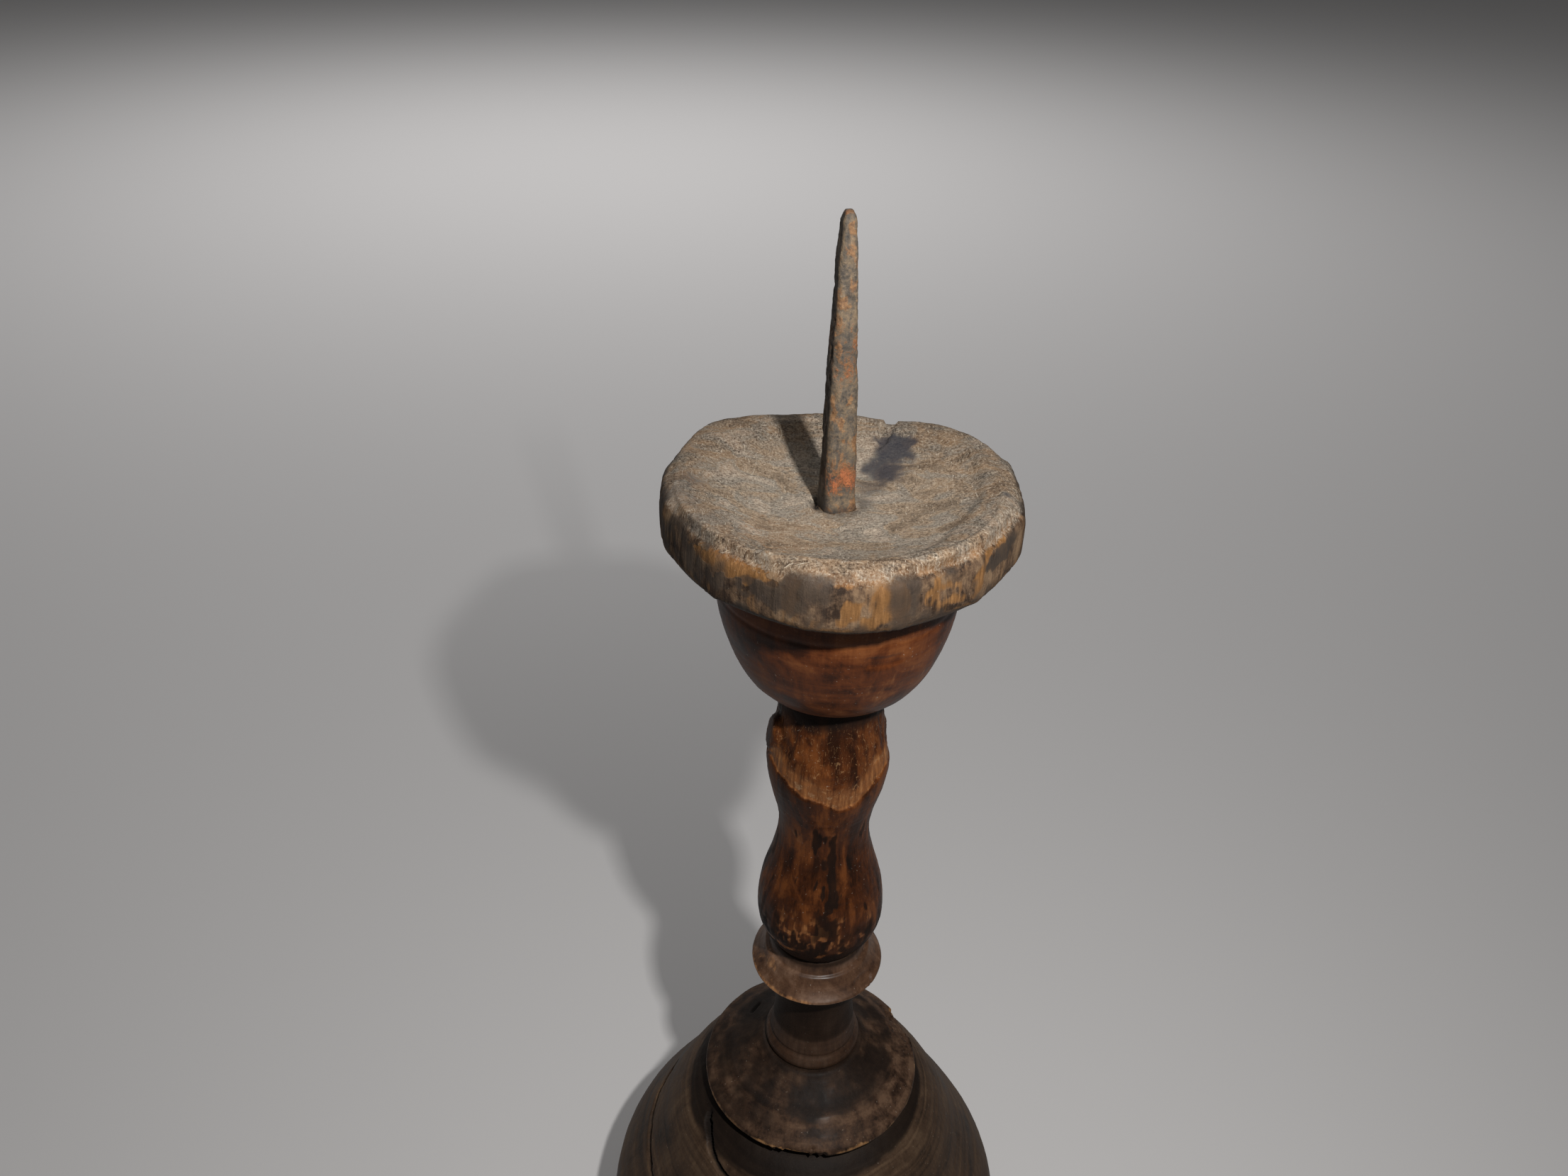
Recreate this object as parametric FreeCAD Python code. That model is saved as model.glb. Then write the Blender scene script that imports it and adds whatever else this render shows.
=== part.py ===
"""Turned wooden pricket candlestick.

Five turned pieces stand on a wide base and are threaded on the long spindle of the
baluster stem, which is split and wedged under the base.  A forged iron pricket is
driven down through the drip pan and the bell cup into the top tenon of the stem.

Millimetres, +Z up.  The origin is the centre of the ring that the base stands on.
"""
import math
import os

import FreeCAD, Part

# Heights of the visible pieces, from the table upwards
BASE_HEIGHT = 59.0
DRUM_HEIGHT = 10.4
KNOP_HEIGHT = 28.0
STEM_HEIGHT = 54.0
BELL_HEIGHT = 24.4
PAN_THICKNESS = 9.2
SPIKE_ABOVE_RIM = 37.3

# Base: foot bead, quirk, and the flared dome that the drum stands on.  The flank points are
# shares of the way out from the top radius and of the way up from the shoulder.
FOOT_RADIUS = 41.5
FOOT_HEIGHT = 12.0
FOOT_SOLE_RADIUS = 39.6
QUIRK_DEPTH = 1.6
QUIRK_WIDTH = 1.8
DOME_RADIUS = 38.9
DOME_SHOULDER_HEIGHT = 27.5
DOME_TOP_RADIUS = 18.0
DOME_FLANK = ((0.965, 0.0), (0.774, 0.26), (0.553, 0.51), (0.314, 0.81))
UNDERSIDE_RADIUS = 30.0
UNDERSIDE_CEILING_RADIUS = 26.0
UNDERSIDE_DEPTH = 9.0

# Drum on the base: a sloping ring with a thin edge around a cove, undercut to a narrow foot.
# The share says how high the middle of the cove lies.
DRUM_RADIUS = 20.1
DRUM_EDGE_HEIGHT = 2.0
DRUM_EDGE_THICKNESS = 1.3
DRUM_EDGE_ROUNDING = 0.5
DRUM_FOOT_TUCK = 3.6
DRUM_SEAT_RADIUS = 9.2
DRUM_COVE_RADIUS = 15.4
DRUM_COVE_DEPTH = 4.0
DRUM_COVE_MID_SHARE = 0.40

# Knop between drum and stem: foot ring, spool, collar and fillet
FOOT_RING_RADIUS = 8.7
FOOT_RING_HEIGHT = 2.5
FOOT_RING_EASE = 0.3
SPOOL_WAIST_RADIUS = 7.1
SPOOL_END_RADIUS = 8.1
SPOOL_TOP_TUCK = 0.4
COLLAR_RADIUS = 11.7
COLLAR_SHOULDER_RADIUS = 9.1
COLLAR_HEIGHT = 7.7
COLLAR_CREST_DROP = 3.7
COLLAR_EDGE = 0.45
COLLAR_HOLLOW = 0.4
FILLET_HEIGHT = 2.7
FILLET_RADIUS = 8.5

# Baluster stem: foot, belly, waist, worn bead and neck
STEM_FOOT_RADIUS = 8.0
BELLY_RADIUS = 10.8
BELLY_CENTRE = 7.2
WAIST_RADIUS = 7.5
WAIST_CENTRE = 25.7
BEAD_RADIUS = 9.8
BEAD_CENTRE = 39.2
NECK_RADIUS = 8.1

# Bell cup
BELL_TOP_RADIUS = 17.8
BELL_MID_RADIUS = 16.9
BELL_MID_SHARE = 0.48
BELL_LOW_RADIUS = 14.3
BELL_LOW_SHARE = 0.20
BELL_FOOT_RADIUS = 9.4

# Drip pan: the knife-trimmed outline as (degrees, radius), a dish on top
PAN_OUTLINE = (
    (0, 25.7), (22, 26.9), (42, 27.9), (58, 27.2), (72, 25.1), (88, 25.9), (104, 26.2),
    (120, 28.1), (136, 28.9), (154, 27.3), (174, 25.6), (196, 25.0), (220, 24.6),
    (244, 24.7), (268, 25.4), (292, 24.7), (316, 24.5), (340, 24.9),
)
PAN_TOP_ROUNDING = 1.7
PAN_TOP_INSET = 1.6
PAN_BOTTOM_ROUNDING = 0.9
PAN_BOTTOM_INSET = 0.8
DISH_RADIUS = 22.4
DISH_DEPTH = 3.5
DISH_FLOOR_RADIUS = 9.0
DISH_SLOPE_SHARE = 0.38

# Joinery
SPINDLE_RADIUS = 5.0
TENON_RADIUS = 5.0
TENON_LENGTH = 13.0
SPIGOT_RADIUS = 9.0
SPIGOT_LENGTH = 2.2
WOOD_CLEARANCE = 0.05
SPINDLE_PROUD = 0.8

# Hardwood wedge driven into the split end of the spindle
WEDGE_LENGTH = 12.0
WEDGE_BUTT_THICKNESS = 1.4
WEDGE_TIP_THICKNESS = 0.4
WEDGE_PROUD = 0.5

# Forged iron pricket: a tapering square bar, leaning a little, with a tapering tang
SPIKE_ROOT_WIDTH = 4.8
SPIKE_MID_WIDTH = 3.7
SPIKE_TIP_WIDTH = 2.1
SPIKE_END_WIDTH = 1.2
SPIKE_END_ROUNDING = 1.2
SPIKE_CORNER_SHARE = 0.28
SPIKE_OFFSET = -0.8
SPIKE_LEAN = -0.35
SPIKE_TURN = 18.0
TANG_LENGTH = 28.0
TANG_TIP_WIDTH = 1.2

# Levels that follow from the heights
BASE_TOP = BASE_HEIGHT
DRUM_TOP = BASE_TOP + DRUM_HEIGHT
KNOP_TOP = DRUM_TOP + KNOP_HEIGHT
STEM_TOP = KNOP_TOP + STEM_HEIGHT
BELL_TOP = STEM_TOP + BELL_HEIGHT
RIM_TOP = BELL_TOP + PAN_THICKNESS
DISH_FLOOR = RIM_TOP - DISH_DEPTH
SPINDLE_END = UNDERSIDE_DEPTH - SPINDLE_PROUD

ORIGIN = FreeCAD.Vector(0, 0, 0)
UP = FreeCAD.Vector(0, 0, 1)


def at(radius, height):
    """A point of a turning profile."""
    return FreeCAD.Vector(radius, 0, height)


def line(start, end):
    """A straight edge of a profile."""
    return Part.makeLine(start, end)


def curve(points, axial=()):
    """A smooth edge through the points; at those listed in axial it runs along the axis."""
    spline = Part.BSplineCurve()
    direction = FreeCAD.Vector(0, 0, math.copysign(1.0, points[-1].z - points[0].z))
    tangents = [direction] * len(points)
    flags = [index in axial for index in range(len(points))]
    spline.interpolate(Points=points, Tangents=tangents, TangentFlags=flags)
    return spline.toShape()


def turned(edges):
    """The solid that a closed half profile sweeps around the axis."""
    face = Part.Face(Part.Wire(edges))
    return face.revolve(ORIGIN, UP, 360)


def closed_to_axis(edges, bottom, top):
    """A profile that runs from the axis at bottom, along the edges, to the axis at top."""
    first = edges[0].valueAt(edges[0].FirstParameter)
    last = edges[-1].valueAt(edges[-1].LastParameter)
    ends = [line(at(0, bottom), first), line(last, at(0, top)), line(at(0, top), at(0, bottom))]
    return turned([ends[0]] + edges + ends[1:])


def rod(radius, bottom, top):
    """A plain round rod on the axis."""
    return Part.makeCylinder(radius, top - bottom, at(0, bottom), UP)


def spindle_bore(bottom, top):
    """The hole that the spindle passes through with its clearance."""
    return rod(SPINDLE_RADIUS + WOOD_CLEARANCE, bottom, top)


def base_dome():
    """Flared base block with a foot bead, bored for the spindle and hollow underneath."""
    quirk_low = FOOT_HEIGHT
    quirk_high = FOOT_HEIGHT + QUIRK_WIDTH
    quirk_radius = DOME_RADIUS - QUIRK_DEPTH
    flare = DOME_RADIUS - DOME_TOP_RADIUS
    rise = BASE_TOP - DOME_SHOULDER_HEIGHT
    flank = [
        at(DOME_TOP_RADIUS + out * flare, DOME_SHOULDER_HEIGHT + up * rise) for out, up in DOME_FLANK
    ]
    outline = [
        curve([
            at(FOOT_SOLE_RADIUS, 0),
            at(FOOT_RADIUS, FOOT_HEIGHT / 2),
            at(quirk_radius, quirk_low),
        ], (1,)),
        line(at(quirk_radius, quirk_low), at(quirk_radius, quirk_high)),
        line(at(quirk_radius, quirk_high), at(DOME_RADIUS, quirk_high + QUIRK_DEPTH / 2)),
        curve([at(DOME_RADIUS, quirk_high + QUIRK_DEPTH / 2), *flank, at(DOME_TOP_RADIUS, BASE_TOP)], (0,)),
    ]
    block = closed_to_axis(outline, 0, BASE_TOP)
    hollow = Part.makeCone(UNDERSIDE_RADIUS, UNDERSIDE_CEILING_RADIUS, UNDERSIDE_DEPTH, ORIGIN, UP)
    return block.cut(hollow).cut(spindle_bore(0, BASE_TOP))


def base_drum():
    """Low drum: a sloping, undercut ring around a cove, with a flat seat for the knop."""
    cove_floor = DRUM_TOP - DRUM_COVE_DEPTH
    cove_middle = (DRUM_SEAT_RADIUS + DRUM_COVE_RADIUS) / 2
    edge_low = BASE_TOP + DRUM_EDGE_HEIGHT
    edge_high = edge_low + DRUM_EDGE_THICKNESS
    shoulder_radius = DRUM_RADIUS - DRUM_EDGE_ROUNDING
    outline = [
        line(at(DRUM_RADIUS - DRUM_FOOT_TUCK, BASE_TOP), at(shoulder_radius, edge_low - DRUM_EDGE_ROUNDING)),
        curve([
            at(shoulder_radius, edge_low - DRUM_EDGE_ROUNDING),
            at(DRUM_RADIUS, (edge_low + edge_high) / 2),
            at(shoulder_radius, edge_high),
        ], (1,)),
        line(at(shoulder_radius, edge_high), at(DRUM_COVE_RADIUS, cove_floor)),
        curve([
            at(DRUM_COVE_RADIUS, cove_floor),
            at(cove_middle, cove_floor + DRUM_COVE_MID_SHARE * DRUM_COVE_DEPTH),
            at(DRUM_SEAT_RADIUS, DRUM_TOP),
        ]),
    ]
    return closed_to_axis(outline, BASE_TOP, DRUM_TOP).cut(spindle_bore(BASE_TOP, DRUM_TOP))


def stem_knop():
    """Turned knop: foot ring, spool, collar and fillet, bored for the spindle."""
    ring_top = DRUM_TOP + FOOT_RING_HEIGHT
    fillet_foot = KNOP_TOP - FILLET_HEIGHT
    crest = fillet_foot - COLLAR_CREST_DROP
    collar_foot = fillet_foot - COLLAR_HEIGHT
    low_edge = crest - COLLAR_EDGE
    collar_middle = (COLLAR_RADIUS + COLLAR_SHOULDER_RADIUS) / 2
    outline = [
        curve([
            at(FOOT_RING_RADIUS - FOOT_RING_EASE, DRUM_TOP),
            at(FOOT_RING_RADIUS, DRUM_TOP + FOOT_RING_HEIGHT / 2),
            at(SPOOL_END_RADIUS, ring_top),
        ], (1,)),
        curve([
            at(SPOOL_END_RADIUS, ring_top),
            at(SPOOL_WAIST_RADIUS, (ring_top + collar_foot) / 2),
            at(SPOOL_END_RADIUS - SPOOL_TOP_TUCK, collar_foot),
        ], (1,)),
        line(at(SPOOL_END_RADIUS - SPOOL_TOP_TUCK, collar_foot), at(COLLAR_RADIUS - COLLAR_EDGE, low_edge)),
        line(at(COLLAR_RADIUS - COLLAR_EDGE, low_edge), at(COLLAR_RADIUS, crest)),
        curve([
            at(COLLAR_RADIUS, crest),
            at(collar_middle - COLLAR_HOLLOW, (crest + fillet_foot) / 2),
            at(COLLAR_SHOULDER_RADIUS, fillet_foot),
        ]),
        line(at(COLLAR_SHOULDER_RADIUS, fillet_foot), at(FILLET_RADIUS, fillet_foot)),
        line(at(FILLET_RADIUS, fillet_foot), at(STEM_FOOT_RADIUS, KNOP_TOP)),
    ]
    return closed_to_axis(outline, DRUM_TOP, KNOP_TOP).cut(spindle_bore(DRUM_TOP, KNOP_TOP))


def baluster_stem(tang, wedge):
    """Stem with a neck, a bead and a baluster; tenon above, long wedged spindle below."""
    outline = [
        curve([
            at(STEM_FOOT_RADIUS, KNOP_TOP),
            at(BELLY_RADIUS, KNOP_TOP + BELLY_CENTRE),
            at(WAIST_RADIUS, KNOP_TOP + WAIST_CENTRE),
            at(BEAD_RADIUS, KNOP_TOP + BEAD_CENTRE),
            at(NECK_RADIUS, STEM_TOP),
        ], (1, 2, 3, 4)),
    ]
    body = closed_to_axis(outline, KNOP_TOP, STEM_TOP)
    spindle = rod(SPINDLE_RADIUS, SPINDLE_END, KNOP_TOP)
    tenon = rod(TENON_RADIUS, STEM_TOP, STEM_TOP + TENON_LENGTH)
    return body.fuse([spindle, tenon]).removeSplitter().cut(tang).cut(wedge)


def bell_cup(tang):
    """Bell-shaped cup with a spigot above and a socket for the stem's tenon below."""
    outline = [
        curve([
            at(BELL_FOOT_RADIUS, STEM_TOP),
            at(BELL_LOW_RADIUS, STEM_TOP + BELL_LOW_SHARE * BELL_HEIGHT),
            at(BELL_MID_RADIUS, STEM_TOP + BELL_MID_SHARE * BELL_HEIGHT),
            at(BELL_TOP_RADIUS, BELL_TOP),
        ], (3,)),
    ]
    cup = closed_to_axis(outline, STEM_TOP, BELL_TOP)
    spigot = rod(SPIGOT_RADIUS, BELL_TOP, BELL_TOP + SPIGOT_LENGTH)
    socket_top = STEM_TOP + TENON_LENGTH + WOOD_CLEARANCE
    socket = rod(TENON_RADIUS + WOOD_CLEARANCE, STEM_TOP, socket_top)
    return cup.fuse(spigot).removeSplitter().cut(socket).cut(tang)


def pan_section(height, inset):
    """The closed outline of the pan at one height, drawn in by the inset."""
    points = []
    for degrees, radius in PAN_OUTLINE:
        angle = math.radians(degrees)
        reach = radius - inset
        points.append(FreeCAD.Vector(reach * math.cos(angle), reach * math.sin(angle), height))
    spline = Part.BSplineCurve()
    spline.interpolate(Points=points, PeriodicFlag=True)
    return Part.Wire([spline.toShape()])


def drip_pan(tang):
    """Thick irregular pan with a shallow dish on top and a recess for the spigot below."""
    sections = [
        pan_section(BELL_TOP, PAN_BOTTOM_INSET),
        pan_section(BELL_TOP + PAN_BOTTOM_ROUNDING, 0),
        pan_section(RIM_TOP - PAN_TOP_ROUNDING, 0),
        pan_section(RIM_TOP, PAN_TOP_INSET),
    ]
    disc = Part.makeLoft(sections, True, True)
    slope_radius = (DISH_FLOOR_RADIUS + DISH_RADIUS) / 2
    dish_edge = curve([
        at(DISH_FLOOR_RADIUS, DISH_FLOOR),
        at(slope_radius, DISH_FLOOR + DISH_SLOPE_SHARE * DISH_DEPTH),
        at(DISH_RADIUS, RIM_TOP),
    ])
    dish = closed_to_axis([dish_edge], DISH_FLOOR, RIM_TOP)
    recess = rod(SPIGOT_RADIUS + WOOD_CLEARANCE, BELL_TOP, BELL_TOP + SPIGOT_LENGTH + WOOD_CLEARANCE)
    return disc.cut(dish).cut(recess).cut(tang)


def bar_section(width, height, lean):
    """A rounded square outline of the pricket, turned and leaning with it."""
    half = width / 2
    corner = width * SPIKE_CORNER_SHARE
    straight = half - corner
    bevel = half - corner * (1 - math.sqrt(0.5))
    edges = []
    for quarter in range(4):
        side = line(FreeCAD.Vector(half, -straight, 0), FreeCAD.Vector(half, straight, 0))
        arc = Part.Arc(
            FreeCAD.Vector(half, straight, 0),
            FreeCAD.Vector(bevel, bevel, 0),
            FreeCAD.Vector(straight, half, 0),
        ).toShape()
        for edge in (side, arc):
            edge.rotate(ORIGIN, UP, 90 * quarter + SPIKE_TURN)
            edge.translate(FreeCAD.Vector(SPIKE_OFFSET + lean, 0, height))
            edges.append(edge)
    return Part.Wire(edges)


def pricket_blade():
    """The part of the pricket that stands in the dish and holds the candle."""
    tip = RIM_TOP + SPIKE_ABOVE_RIM
    shoulder = tip - SPIKE_END_ROUNDING
    middle = (DISH_FLOOR + shoulder) / 2
    stations = [
        (SPIKE_ROOT_WIDTH, DISH_FLOOR, 0),
        (SPIKE_MID_WIDTH, middle, SPIKE_LEAN / 2),
        (SPIKE_TIP_WIDTH, shoulder, SPIKE_LEAN),
        (SPIKE_END_WIDTH, tip, SPIKE_LEAN),
    ]
    return Part.makeLoft([bar_section(*station) for station in stations], True, True)


def pricket_tang():
    """The tapering tang below the dish; the wood is cut to its exact shape."""
    stations = [(TANG_TIP_WIDTH, DISH_FLOOR - TANG_LENGTH, 0), (SPIKE_ROOT_WIDTH, DISH_FLOOR, 0)]
    return Part.makeLoft([bar_section(*station) for station in stations], True, True)


def tenon_wedge():
    """Thin wedge, trimmed to the round of the spindle, with its butt just proud of it."""
    butt = SPINDLE_END - WEDGE_PROUD
    tip = butt + WEDGE_LENGTH
    corners = [
        at(-WEDGE_BUTT_THICKNESS / 2, butt),
        at(WEDGE_BUTT_THICKNESS / 2, butt),
        at(WEDGE_TIP_THICKNESS / 2, tip),
        at(-WEDGE_TIP_THICKNESS / 2, tip),
    ]
    side = Part.Face(Part.makePolygon(corners + corners[:1]))
    side.translate(FreeCAD.Vector(0, -2 * SPINDLE_RADIUS, 0))
    blade = side.extrude(FreeCAD.Vector(0, 4 * SPINDLE_RADIUS, 0))
    return blade.common(rod(SPINDLE_RADIUS, butt, tip))


def write_parts():
    """Build every piece and write it to its own STEP file."""
    tang = pricket_tang()
    wedge = tenon_wedge()
    nodes = {
        "base_dome": base_dome(),
        "base_drum": base_drum(),
        "stem_knop": stem_knop(),
        "baluster_stem": baluster_stem(tang, wedge),
        "tenon_wedge": wedge,
        "bell_cup": bell_cup(tang),
        "drip_pan": drip_pan(tang),
        "pricket_spike": pricket_blade().fuse(tang).removeSplitter(),
    }
    os.makedirs("parts", exist_ok=True)
    for name, shape in nodes.items():
        solids = shape.Solids
        print(name, "solids", len(solids), "volume", round(shape.Volume, 1), "valid", shape.isValid())
        solids[0].exportStep(f"parts/{name}.step")


write_parts()
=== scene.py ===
"""Looks of the turned wooden pricket candlestick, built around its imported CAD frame.

Every wooden piece is the CAD node's own profile, turned again as a fine grid of columns round the
axis and rows along the profile, and then worn: cracks, chips, knife cuts, tool marks, bare patches.
Relief is worked out in millimetres and written in metres, in the frame that the CAD is in.
"""
import math

import bpy
import numpy as np
from mathutils import Matrix, Vector
from mathutils.bvhtree import BVHTree


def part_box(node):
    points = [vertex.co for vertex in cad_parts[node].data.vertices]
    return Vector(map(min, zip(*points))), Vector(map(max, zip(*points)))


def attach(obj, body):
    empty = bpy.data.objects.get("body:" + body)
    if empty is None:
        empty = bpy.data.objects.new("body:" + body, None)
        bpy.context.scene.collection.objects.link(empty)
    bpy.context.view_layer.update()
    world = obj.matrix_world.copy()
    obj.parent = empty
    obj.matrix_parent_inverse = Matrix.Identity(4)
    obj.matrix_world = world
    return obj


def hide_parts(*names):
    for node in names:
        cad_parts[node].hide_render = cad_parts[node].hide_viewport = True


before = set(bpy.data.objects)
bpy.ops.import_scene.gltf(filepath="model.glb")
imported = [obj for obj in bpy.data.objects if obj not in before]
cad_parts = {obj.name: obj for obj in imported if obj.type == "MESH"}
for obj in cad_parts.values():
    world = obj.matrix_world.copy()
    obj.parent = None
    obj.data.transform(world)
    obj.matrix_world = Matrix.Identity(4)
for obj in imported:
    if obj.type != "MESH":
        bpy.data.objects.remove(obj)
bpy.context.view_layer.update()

MM = 1000.0
SECTION_STEP = 0.1  # mm between the points of a section before it is resampled
CORE_RADIUS = 4.6  # mm, just outside the hidden tang and wedge
HIDDEN_GAP = 0.12  # mm; a surface nearer than this to another node can't be seen
HIDDEN_ROWS, PLAIN_ROWS = 6, 5  # times wider row spacing on hidden and on plain parts of a skin
DISH_DEPTH = 3.5  # mm from the pan's rim down to the dish floor
PAN_LOW, PAN_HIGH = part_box("drip_pan")
RIM = PAN_HIGH.z
DOME_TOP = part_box("base_dome")[1].z * MM
DRUM_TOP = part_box("base_drum")[1].z * MM
KNOP_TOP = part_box("stem_knop")[1].z * MM
BELL_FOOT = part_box("bell_cup")[0].z * MM
PAN_FOOT = PAN_LOW.z * MM
PAN_TOP = RIM * MM
MASKS = ("bare", "pale", "grime_and_shade", "stain", "crack", "top")

# ---------------------------------------------------------------- repeatable noise


def lattice(cells, seed):
    """Repeatable values from -1 to 1 at whole-numbered places."""
    h = cells[..., 0] * 73856093 ^ cells[..., 1] * 19349663 ^ cells[..., 2] * 83492791 ^ seed * 2654435761
    h = h & 0xFFFFFFFF
    for _ in range(2):
        h = ((h ^ (h >> 16)) * 0x45D9F3B) & 0xFFFFFFFF
    return (h ^ (h >> 16)) / 0x7FFFFFFF - 1.0


def noise(places, seed):
    """Smooth noise from -1 to 1 with features about one unit across."""
    base = np.floor(places).astype(np.int64)
    f = places - base
    f = f * f * f * (f * (f * 6 - 15) + 10)
    total = np.zeros(places.shape[:-1])
    for corner in range(8):
        step = np.array([corner & 1, corner >> 1 & 1, corner >> 2 & 1])
        total += np.prod(np.where(step, f, 1 - f), axis=-1) * lattice(base + step, seed)
    return total


def fbm(places, seed, octaves=4):
    """Noise with finer and finer detail added."""
    return sum(noise(places * 2.0**k, seed + 17 * k) / 1.9**k for k in range(octaves)) / 1.6


def smooth(low, high, x):
    """0 below low, 1 above high, a smooth step between."""
    t = np.clip((x - low) / (high - low), 0, 1)
    return t * t * (3 - 2 * t)


def hill(x, middle, reach):
    """1 where x is at the middle, fading to both sides over about reach."""
    return np.exp(-(((x - middle) / reach) ** 2))


# ---------------------------------------------------------------- reading the CAD frame


def vertices_of(node):
    """The vertices of a CAD node in millimetres."""
    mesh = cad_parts[node].data
    points = np.empty(len(mesh.vertices) * 3)
    mesh.vertices.foreach_get("co", points)
    return points.reshape(-1, 3) * MM


def tree_of(node):
    """A search tree over a CAD node, in metres."""
    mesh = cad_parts[node].data
    mesh.calc_loop_triangles()
    triangles = [tuple(t.vertices) for t in mesh.loop_triangles]
    return BVHTree.FromPolygons([v.co for v in mesh.vertices], triangles)


TREES = {node: tree_of(node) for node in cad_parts}


def half_section(node, azimuth):
    """The longest line, as (radius, height) rows, where a half-plane through the axis cuts a CAD node."""
    points = vertices_of(node)
    _, first, weld = np.unique(points.round(4), axis=0, return_index=True, return_inverse=True)
    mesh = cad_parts[node].data
    mesh.calc_loop_triangles()
    corners = np.empty(len(mesh.loop_triangles) * 3, np.int32)
    mesh.loop_triangles.foreach_get("vertices", corners)
    triangles = weld.reshape(-1)[corners].reshape(-1, 3)
    points = points[first]
    c, s = math.cos(math.radians(azimuth)), math.sin(math.radians(azimuth))
    out = points[:, 0] * c + points[:, 1] * s
    side = points[:, 1] * c - points[:, 0] * s
    above = side > 0
    place, links = {}, {}
    for triangle in triangles[above[triangles].sum(1) % 3 != 0]:
        ends = []
        for p, q in zip(triangle, np.roll(triangle, -1)):
            if above[p] != above[q]:
                key = (min(p, q), max(p, q))
                share = side[p] / (side[p] - side[q])
                height = points[p][2] + share * (points[q][2] - points[p][2])
                place[key] = (out[p] + share * (out[q] - out[p]), height)
                ends.append(key)
        if len(ends) == 2 and ends[0] != ends[1]:
            links.setdefault(ends[0], []).append(ends[1])
            links.setdefault(ends[1], []).append(ends[0])
    kept = {key for key in links if place[key][0] > 0}
    links = {key: [k for k in links[key] if k in kept] for key in kept}
    best, seen = [], set()
    for start in sorted(kept, key=lambda k: (len(links[k]) != 1, place[k][1], k)):
        if start in seen:
            continue
        walk, key = [], start
        while key is not None:
            seen.add(key)
            walk.append(place[key])
            key = next((k for k in links[key] if k not in seen), None)
        if len(walk) > len(best):
            best = walk
    return np.array(best)


def clearance(node, points):
    """Distance in millimetres from each point (metres) to the nearest other CAD node."""
    others = [tree for name, tree in TREES.items() if name != node]
    return np.array([min(tree.find_nearest(p)[3] for tree in others) for p in points]) * MM


# ---------------------------------------------------------------- turned skins


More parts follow.
